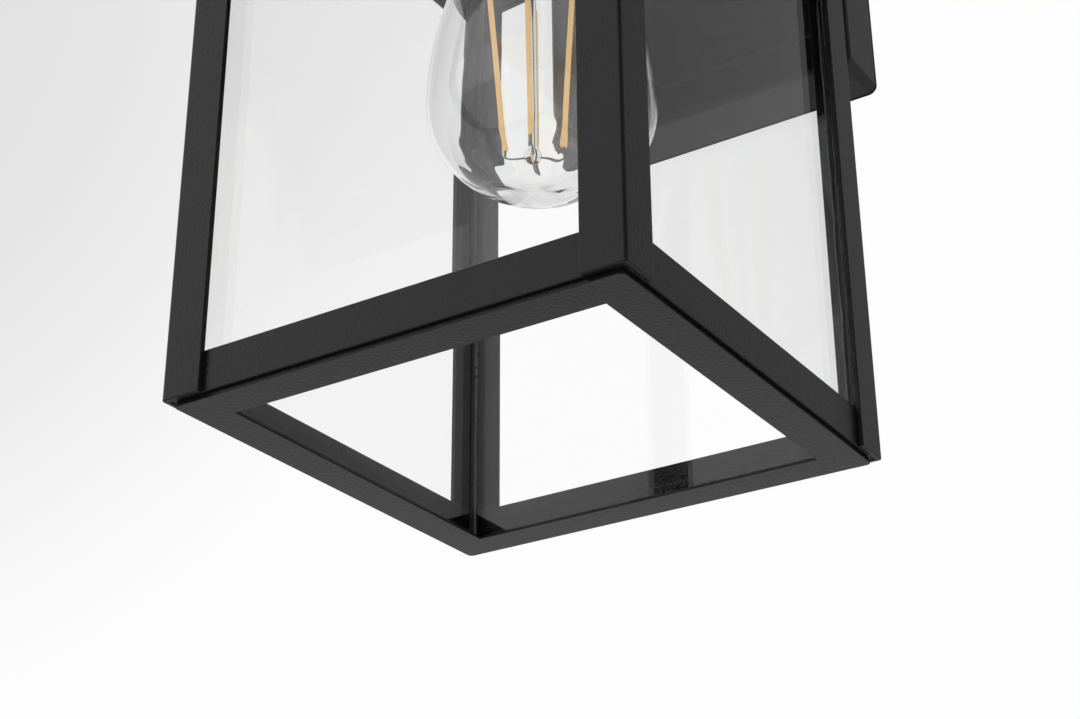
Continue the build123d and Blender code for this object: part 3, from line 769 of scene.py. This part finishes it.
def bulb_stem():
    """The glass mount: a flared tube, a drawn rod and the bead that the wires are set in."""
    tube_top = glass_high.z - glass_low.z - BULB_WALL
    outline = [(0.2 * MM, STEM_LOW - STEM_BEAD)]
    for step in range(1, 12):
        turn = math.radians(150 * step / 11)
        outline.append((STEM_BEAD * math.sin(turn), STEM_LOW - STEM_BEAD * math.cos(turn)))
    outline.append((STEM_ROD, STEM_LOW + STEM_BEAD + 1.2 * MM))
    outline.append((STEM_ROD, STEM_FLARE - 4 * MM))
    for step in range(0, 9):
        turn = math.radians(90 * step / 8)
        outline.append((STEM_ROD + (STEM_TUBE - STEM_ROD) * math.sin(turn),
                        STEM_FLARE - 2 * MM + 4 * MM * (1 - math.cos(turn))))
    outline.append((STEM_TUBE, tube_top))
    mount = turned("bulb_mount", outline, 40, angle=60)
    for point in mount.data.vertices:
        point.co += MOUNT_FOOT + MOUNT_LEAN * min(1, point.co.z / STEM_FLARE)
    return stand(mount, TIP)


filament_turns = [FILAMENT_TURN + 360 * n / FILAMENT_COUNT for n in range(FILAMENT_COUNT)]


def filament_stick(reach):
    """One coated stick along +Z with a bare metal tab at each end."""
    radius = FILAMENT_RADIUS
    stick = turned("filament_stick", [(0.5 * radius, TAB_LENGTH),
                                      (0.9 * radius, TAB_LENGTH + 0.15 * MM),
                                      (radius, TAB_LENGTH + 0.5 * MM),
                                      (radius, reach - TAB_LENGTH - 0.5 * MM),
                                      (0.9 * radius, reach - TAB_LENGTH - 0.15 * MM),
                                      (0.5 * radius, reach - TAB_LENGTH)], 20, angle=60)
    stick.data.materials.append(FINISHES["filament_phosphor"])
    tabs = []
    for foot in (0, reach - TAB_LENGTH - 0.3 * MM):
        tab = turned("filament_tab", [(WIRE_RADIUS, foot), (TAB_RADIUS, foot + 0.1 * MM),
                                      (TAB_RADIUS, foot + TAB_LENGTH + 0.2 * MM),
                                      (WIRE_RADIUS, foot + TAB_LENGTH + 0.3 * MM)], 12)
        tab.data.materials.append(FINISHES["support_wire"])
        tabs.append(tab)
    return join("filament", [stick] + tabs)


def filaments():
    """The sticks round the mount, spread a little towards the top."""
    reach = (at_bearing(FILAMENT_HIGH_RADIUS, 0, FILAMENT_HIGH)
             - at_bearing(FILAMENT_LOW_RADIUS, 0, FILAMENT_LOW)).length
    stick = filament_stick(reach)
    sticks = []
    for turn in filament_turns:
        foot = at_bearing(FILAMENT_LOW_RADIUS, turn, FILAMENT_LOW)
        head = at_bearing(FILAMENT_HIGH_RADIUS, turn, FILAMENT_HIGH)
        sticks.append(aim(twin(stick, "filament"), foot, head))
    bpy.data.objects.remove(stick)
    return join("bulb_filament_sticks", sticks)


def support_wires():
    """Fine wires from the bead and from the flare, each bent to meet its filament's tab."""
    wires = []
    for turn in filament_turns:
        wires.append(wire("support", [
            at_bearing(0.7 * STEM_BEAD, turn, STEM_LOW - 0.2 * STEM_BEAD),
            at_bearing(0.5 * FILAMENT_LOW_RADIUS, turn + 6, STEM_LOW - 0.35 * STEM_BEAD),
            at_bearing(0.95 * FILAMENT_LOW_RADIUS, turn + 2, FILAMENT_LOW - 0.4 * MM),
            at_bearing(FILAMENT_LOW_RADIUS, turn, FILAMENT_LOW + 0.4 * MM)], WIRE_RADIUS))
        wires.append(wire("support", [
            at_bearing(STEM_ROD + 0.4 * MM, turn, STEM_FLARE - 2.4 * MM),
            at_bearing(0.6 * FILAMENT_HIGH_RADIUS, turn, STEM_FLARE - 4 * MM),
            at_bearing(0.98 * FILAMENT_HIGH_RADIUS, turn, FILAMENT_HIGH + 4 * MM),
            at_bearing(FILAMENT_HIGH_RADIUS, turn, FILAMENT_HIGH)], WIRE_RADIUS))
    return join("bulb_support_wire_set", wires)


def rolled_thread(piece, axis, low, high, pitch, depth):
    """Rolls a round thread into the sleeve's wall between two heights."""
    for point in piece.data.vertices:
        offset = point.co - axis
        radius = math.hypot(offset.x, offset.y)
        if radius < 1 * MM:
            continue
        run = min(1, max(0, (point.co.z - low) / pitch), max(0, (high - point.co.z) / pitch))
        turn = 2 * math.pi * point.co.z / pitch - math.atan2(offset.y, offset.x)
        share = 1 - run * (0.5 - 0.5 * math.cos(turn)) * depth / radius
        point.co.x = axis.x + offset.x * share
        point.co.y = axis.y + offset.y * share


def sleeve(name, node, wall, segments=72, steps=60):
    """A thin upright sleeve between the ends of a node, with rings enough to take a thread."""
    low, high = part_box(node)
    outer = (high.x - low.x) / 2
    heights = [low.z + (high.z - low.z) * n / steps for n in range(steps + 1)]
    outline = [(outer, z) for z in heights] + [(outer - wall, z) for z in reversed(heights)]
    made = turned(name, outline, segments, hollow=True, angle=50)
    return stand(made, ((low.x + high.x) / 2, (low.y + high.y) / 2, 0)), low, high


def screw_cap():
    """The lamp's threaded cap."""
    cap, low, high = sleeve("bulb_threaded_cap", "bulb_screw_cap", CAP_WALL)
    rolled_thread(cap, TIP, low.z + 3 * MM, high.z - 1 * MM, THREAD_PITCH, THREAD_DEPTH)
    bpy.ops.object.shade_smooth_by_angle(angle=math.radians(60))
    return cap


def lamp_end(name, node, outline):
    """A turned piece on a node's upright axis; heights run from 0 to 1 of the node's own."""
    low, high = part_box(node)
    height = high.z - low.z
    made = turned(name, [(radius, low.z + share * height) for radius, share in outline],
                  48, angle=60)
    return stand(made, ((low.x + high.x) / 2, (low.y + high.y) / 2, 0))


fit(bulb_glass(), "bulb_glass")
fit(bulb_stem(), "bulb_stem")
fit(filaments(), "bulb_filaments")
fit(support_wires(), "bulb_support_wires")
fit(screw_cap(), "bulb_screw_cap")
fit(lamp_end("bulb_insulator_ring", "bulb_cap_insulator",
             [(12.9 * MM, 0.0), (12.4 * MM, 0.12), (9.5 * MM, 0.4), (6.6 * MM, 0.75),
              (5.4 * MM, 0.95), (5.2 * MM, 1.0)]), "bulb_cap_insulator")
fit(lamp_end("bulb_solder_tip", "bulb_tip_contact",
             [(4.6 * MM, 0.0), (4.6 * MM, 0.3), (4.2 * MM, 0.6), (3.0 * MM, 0.85),
              (1.2 * MM, 0.97), (0.3 * MM, 1.0)]), "bulb_tip_contact")


# ======================================================================================
# Roof, arm, plate and lampholder
# ======================================================================================
def holder_cup():
    """The sleeve round the lampholder, its lower rim rolled and its flange under the
    ceiling plate."""
    low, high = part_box("holder_cup")
    flange = (high.x - low.x) / 2
    outer = flange - CUP_FLANGE_REACH
    inner = outer - CUP_WALL
    rim = [(inner, low.z + 0.4 * MM), (inner + 0.15 * MM, low.z + 0.1 * MM),
           (inner + 0.5 * MM, low.z), (outer - 0.15 * MM, low.z + 0.1 * MM),
           (outer, low.z + 0.4 * MM)]
    turn_out = [(outer, high.z - 2.0 * MM), (outer + 0.3 * MM, high.z - 1.3 * MM),
                (outer + 1.0 * MM, high.z - 1.0 * MM)]
    flange_edge = [(flange - 0.3 * MM, high.z - 1.0 * MM), (flange, high.z - 0.7 * MM),
                   (flange, high.z), (inner, high.z)]
    made = turned("holder_sleeve", rim + turn_out + flange_edge, 72, hollow=True)
    return stand(made, ((low.x + high.x) / 2, (low.y + high.y) / 2, 0))


def roof_screw_set():
    """Pan head screws with a cross recess, heads down."""
    low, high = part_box("roof_screws")
    dome = [(0.2 * MM, 0), (0.45 * SCREW_HEAD, 0.06 * MM), (0.75 * SCREW_HEAD, 0.35 * MM),
            (0.93 * SCREW_HEAD, 0.9 * MM), (SCREW_HEAD, 1.6 * MM), (SCREW_HEAD, SCREW_RISE)]
    shank = [(SCREW_SHANK, SCREW_RISE), (SCREW_SHANK, high.z - low.z)]
    screw = turned("roof_screw", dome + shank, 40)
    for x, y in ((RECESS_REACH, RECESS_HALF), (RECESS_HALF, RECESS_REACH)):
        carve(screw, block("recess", (-x, -y, -1 * MM), (x, y, RECESS_DEPTH)))
    bpy.ops.object.shade_smooth_by_angle(angle=math.radians(40))
    screws = []
    for x in (low.x + SCREW_HEAD, high.x - SCREW_HEAD):
        for y in (low.y + SCREW_HEAD, high.y - SCREW_HEAD):
            turn = 400 * x / MM
            screws.append(stand(twin(screw, "roof_screw"), (x, y, low.z), (0, 0, turn)))
    bpy.data.objects.remove(screw)
    return join("roof_screw_set", screws)


def pair_on_plate(name, part, node, radius):
    """Two copies of a part made along +Z, turned to face out from the plate at a node's ends."""
    low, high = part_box(node)
    pair = [stand(twin(part, part.name), (x, high.y, 0), (90, 0, 0))
            for x in (low.x + radius, high.x - radius)]
    bpy.data.objects.remove(part)
    return join(name, pair)


def cap_nut_set():
    """Domed nuts: a hexagonal collar and a turned dome."""
    low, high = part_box("cap_nuts")
    radius = (high.z - low.z) / 2
    collar = turned("nut_collar", [(0.86 * radius, 0), (0.99 * radius, 0.5 * MM),
                                   (0.99 * radius, 3.6 * MM), (0.88 * radius, 4.1 * MM)],
                    6, angle=20)
    soften(collar, 0.2 * MM, 2, 25)
    dome_radius = 0.84 * radius
    outline = [(dome_radius, 3.9 * MM), (dome_radius, COLLAR_TOP)]
    for step in range(1, 10):
        turn = math.radians(90 * step / 9)
        outline.append((max(dome_radius * math.cos(turn), 0.2 * MM),
                        COLLAR_TOP + DOME_RISE * math.sin(turn)))
    nut = join("cap_nut", [collar, turned("nut_dome", outline, 48, angle=60)])
    return pair_on_plate("cap_nut_pair", nut, "cap_nuts", radius)


def nut_washer_set():
    """Flat washers with a softened outer edge, under the domed nuts."""
    low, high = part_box("cap_nut_washers")
    radius = (high.z - low.z) / 2
    wall = high.y - low.y
    outline = [(WASHER_BORE, 0), (radius, 0), (radius, 0.6 * wall), (radius - 0.25 * MM, wall),
               (WASHER_BORE, wall)]
    ring = turned("washer", outline, 48, hollow=True)
    return pair_on_plate("nut_washer_pair", ring, "cap_nut_washers", radius)


def connector_set():
    """Twist-on connectors: tapered caps with raised grip ribs."""
    low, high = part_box("wire_connectors")
    large = (high.y - low.y) / 2
    length = high.z - low.z
    core = large - RIB_HEIGHT
    outside = [(0.4 * core, 0), (0.62 * core, 0.3 * MM), (0.68 * core, 1.2 * MM),
               (0.97 * core, length - 2.5 * MM), (core, length - 1.0 * MM), (core, length)]
    socket = [(0.4 * core, length), (0.36 * core, 0.5 * length)]
    cap = turned("twist_cap", outside + socket, 32)

    def grip(centre, normal):
        side = abs(normal.z) < 0.4 and 1.2 * MM < centre.z < length - 2.4 * MM
        bearing = math.degrees(math.atan2(centre.y, centre.x)) % 360
        raised = round(bearing / RIB_TURN - 0.5) % 2 == 0
        return side and raised and math.hypot(centre.x, centre.y) > 0.6 * core

    pick(cap, "FACE", grip)
    bpy.ops.mesh.inset(thickness=RIB_GAP, use_individual=True)
    bpy.ops.mesh.extrude_faces_move(TRANSFORM_OT_shrink_fatten={"value": RIB_HEIGHT})
    close_edit()
    middle = (low.y + high.y) / 2
    caps = [stand(twin(cap, "twist_cap"), (x, middle, low.z))
            for x in (low.x + large, high.x - large)]
    bpy.data.objects.remove(cap)
    return join("twist_connector_pair", caps)


def pressed_field(low, high, front):
    """The raised middle of the wall plate: a slab with rounded corners and sloping sides."""
    edge = FIELD_INSET - 0.5 * FIELD_SLOPE
    field = block("plate_field", (low.x + edge, low.y, low.z + edge),
                  (high.x - edge, front + 0.5 * PLATE_RAISE, high.z - edge))
    pick(field, "EDGE", lambda c, d: abs(d.y) > 0.9)
    bpy.ops.mesh.bevel(offset=FIELD_CORNER, segments=6, affect="EDGES")
    close_edit()
    half = (high - low) / 2 - Vector((edge, 0, edge))
    shrink_x = 1 - 1.5 * FIELD_SLOPE / half.x
    shrink_z = 1 - 1.5 * FIELD_SLOPE / half.z
    pick(field, "FACE", lambda c, n: n.y < -0.99)
    bpy.ops.transform.resize(value=(shrink_x, 1, shrink_z), center_override=(low + high) / 2)
    close_edit()
    pick(field, "EDGE", lambda c, d: c.y < low.y + 0.01 * MM)
    bpy.ops.mesh.bevel(offset=FIELD_EDGE, segments=3, affect="EDGES")
    close_edit()
    return field


def wall_plate():
    """A pan with rounded rim, pressed up in the middle, open at the back."""
    low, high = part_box("wall_plate")
    front = low.y + PLATE_RAISE
    pan = block("plate_pan", (low.x, front, low.z), high)
    pick(pan, "EDGE", lambda c, d: abs(d.y) > 0.9)
    bpy.ops.mesh.bevel(offset=PLATE_CORNER, segments=8, affect="EDGES")
    close_edit()
    pick(pan, "EDGE", lambda c, d: c.y < front + 0.01 * MM)
    bpy.ops.mesh.bevel(offset=PLATE_ROUNDING, segments=8, affect="EDGES")
    close_edit()
    pick(pan, "FACE", lambda c, n: n.y > 0.99)
    bpy.ops.mesh.inset(thickness=PLATE_WALL)
    move = {"value": (0, front + PLATE_WALL - high.y, 0)}
    bpy.ops.mesh.extrude_region_move(TRANSFORM_OT_translate=move)
    close_edit()
    field = pressed_field(low, high, front)
    apply_modifier(pan, "BOOLEAN", operation="UNION", solver="EXACT", object=field)
    bpy.data.objects.remove(field)
    bpy.ops.object.shade_smooth_by_angle(angle=math.radians(28))
    apply_modifier(pan, "WEIGHTED_NORMAL", mode="FACE_AREA", weight=100, keep_sharp=True)
    return pan


def screw_shell():
    """The lampholder's threaded shell."""
    shell, low, high = sleeve("holder_threaded_shell", "holder_screw_shell", SHELL_WALL)
    rolled_thread(shell, TIP, low.z + 1 * MM, high.z - 1 * MM, THREAD_PITCH, SHELL_THREAD_DEPTH)
    bpy.ops.object.shade_smooth_by_angle(angle=math.radians(60))
    return shell


fit(holder_cup(), "holder_cup")
fit(wall_plate(), "wall_plate")
fit(roof_screw_set(), "roof_screws")
fit(cap_nut_set(), "cap_nuts")
fit(nut_washer_set(), "cap_nut_washers")
fit(connector_set(), "wire_connectors")
fit(screw_shell(), "holder_screw_shell")
softened_edges = {
    "roof_pan": 0.3 * MM, "roof_cap": 0.3 * MM, "ceiling_plate": 0.3 * MM, "arm_tube": 0.3 * MM,
    "glass_clips": 0.2 * MM, "wall_gasket": 0.4 * MM, "mounting_crossbar": 0.3 * MM,
    "arm_nuts": 0.3 * MM, "holder_stem_nuts": 0.3 * MM, "holder_strap": 0.25 * MM,
}
for node, edge in softened_edges.items():
    fit(softened(node, edge), node)


# ======================================================================================
# The frame's own pieces take their finishes
# ======================================================================================
for node, piece in frame["nodes"].items():
    piece.data.materials.clear()
    piece.data.materials.append(FINISHES[SLOTS[node]])


# ======================================================================================
# Studio
# ======================================================================================
def studio_world():
    """Soft white surroundings, a little dimmer high on the left.  In reflections they are also
    dimmer towards a dark screen on the viewer's right, towards the far right and overhead."""
    world = bpy.data.worlds.new("studio")
    bpy.context.scene.world = world
    world.use_nodes = True
    nodes, links = world.node_tree.nodes, world.node_tree.links
    light = nodes["Background"]
    sky = nodes.new("ShaderNodeTexCoord")

    def towards(direction, near, far, low, high):
        """A value that eases from low to high while the cosine of the angle between a ray and
        a direction goes from near to far."""
        match = nodes.new("ShaderNodeVectorMath")
        match.operation = "DOT_PRODUCT"
        match.inputs[1].default_value = Vector(direction).normalized()
        ease = nodes.new("ShaderNodeMapRange")
        ease.interpolation_type = "SMOOTHSTEP"
        ends = {"From Min": near, "From Max": far, "To Min": low, "To Max": high}
        for name, value in ends.items():
            ease.inputs[name].default_value = value
        links.new(sky.outputs["Generated"], match.inputs[0])
        links.new(match.outputs["Value"], ease.inputs["Value"])
        return ease.outputs["Result"]

    def times(a, b):
        """One value dimmed by another."""
        node = nodes.new("ShaderNodeMath")
        node.operation = "MULTIPLY"
        links.new(a, node.inputs[0])
        links.new(b, node.inputs[1])
        return node.outputs["Value"]

    seen = towards((-0.78, 0.42, 0.62), near=0.915, far=1.0, low=0.985, high=0.75)
    screen = towards((0.75, -0.5, 0.42), near=0.45, far=0.9, low=1.0, high=0.10)
    right = towards((0.62, 0.7, 0.35), near=0.4, far=0.95, low=1.0, high=0.31)
    above = towards((0, 0, 1), near=0.36, far=0.66, low=1.0, high=0.84)
    reflected = times(times(screen, right), above)
    path = nodes.new("ShaderNodeLightPath")
    choose = nodes.new("ShaderNodeMix")
    links.new(path.outputs["Glossy Depth"], choose.inputs["Factor"])
    links.new(seen, choose.inputs["A"])
    links.new(reflected, choose.inputs["B"])
    light.inputs["Color"].default_value = (1.0, 1.0, 1.0, 1)
    links.new(choose.outputs["Result"], light.inputs["Strength"])


def studio_floor():
    """A plain pale floor, painted paler towards the wall and darker in front as painted light and
    shade, solid from above and clear from underneath.
    """
    deselect()
    bpy.ops.mesh.primitive_plane_add(size=12, location=(0, 0, FLOOR_LEVEL))
    floor = bpy.context.object
    floor.name = "floor"
    pale = finish("pale_floor_painted_light", (0.84, 0.84, 0.85), (0.82, 0.82, 0.83), (0.75, 0.85), 3.0)
    tree = pale.node_tree
    dust = next(node for node in tree.nodes if node.type == "GROUP")
    # painted light and shade: along Y the floor's colour ramps from the pale grey in front to near
    # white towards the wall
    place = tree.nodes.new("ShaderNodeTexCoord")
    apart = tree.nodes.new("ShaderNodeSeparateXYZ")
    far = tree.nodes.new("ShaderNodeMapRange")
    far.inputs["From Min"].default_value = 0.3
    far.inputs["From Max"].default_value = 1.3
    blend = tree.nodes.new("ShaderNodeMix")
    blend.data_type = "RGBA"
    blend.inputs["B"].default_value = (0.97, 0.97, 0.97, 1)
    tree.links.new(place.outputs["Object"], apart.inputs["Vector"])
    tree.links.new(apart.outputs["Y"], far.inputs["Value"])
    tree.links.new(far.outputs["Result"], blend.inputs["Factor"])
    tree.links.new(dust.outputs["Color"], blend.inputs["A"])
    shader = tree.nodes["Principled BSDF"]
    tree.links.new(blend.outputs["Result"], shader.inputs["Base Color"])
    side = tree.nodes.new("ShaderNodeNewGeometry")
    clear = tree.nodes.new("ShaderNodeBsdfTransparent")
    choose = tree.nodes.new("ShaderNodeMixShader")
    tree.links.new(side.outputs["Backfacing"], choose.inputs[0])
    tree.links.new(shader.outputs["BSDF"], choose.inputs[1])
    tree.links.new(clear.outputs["BSDF"], choose.inputs[2])
    tree.links.new(choose.outputs["Shader"], tree.nodes["Material Output"].inputs["Surface"])
    floor.data.materials.append(pale)


def viewer():
    """The camera, low in front and to the right, looking up at the body."""
    data = bpy.data.cameras.new("camera")
    camera = bpy.data.objects.new("camera", data)
    bpy.context.scene.collection.objects.link(camera)
    data.sensor_width = 36
    data.lens = LENS
    camera.location = VIEWER_PLACE
    camera.rotation_euler = [math.radians(a) for a in VIEWER_TURN]
    bpy.context.scene.camera = camera


studio_world()
studio_floor()
viewer()
bpy.context.scene.view_settings.view_transform = "Standard"
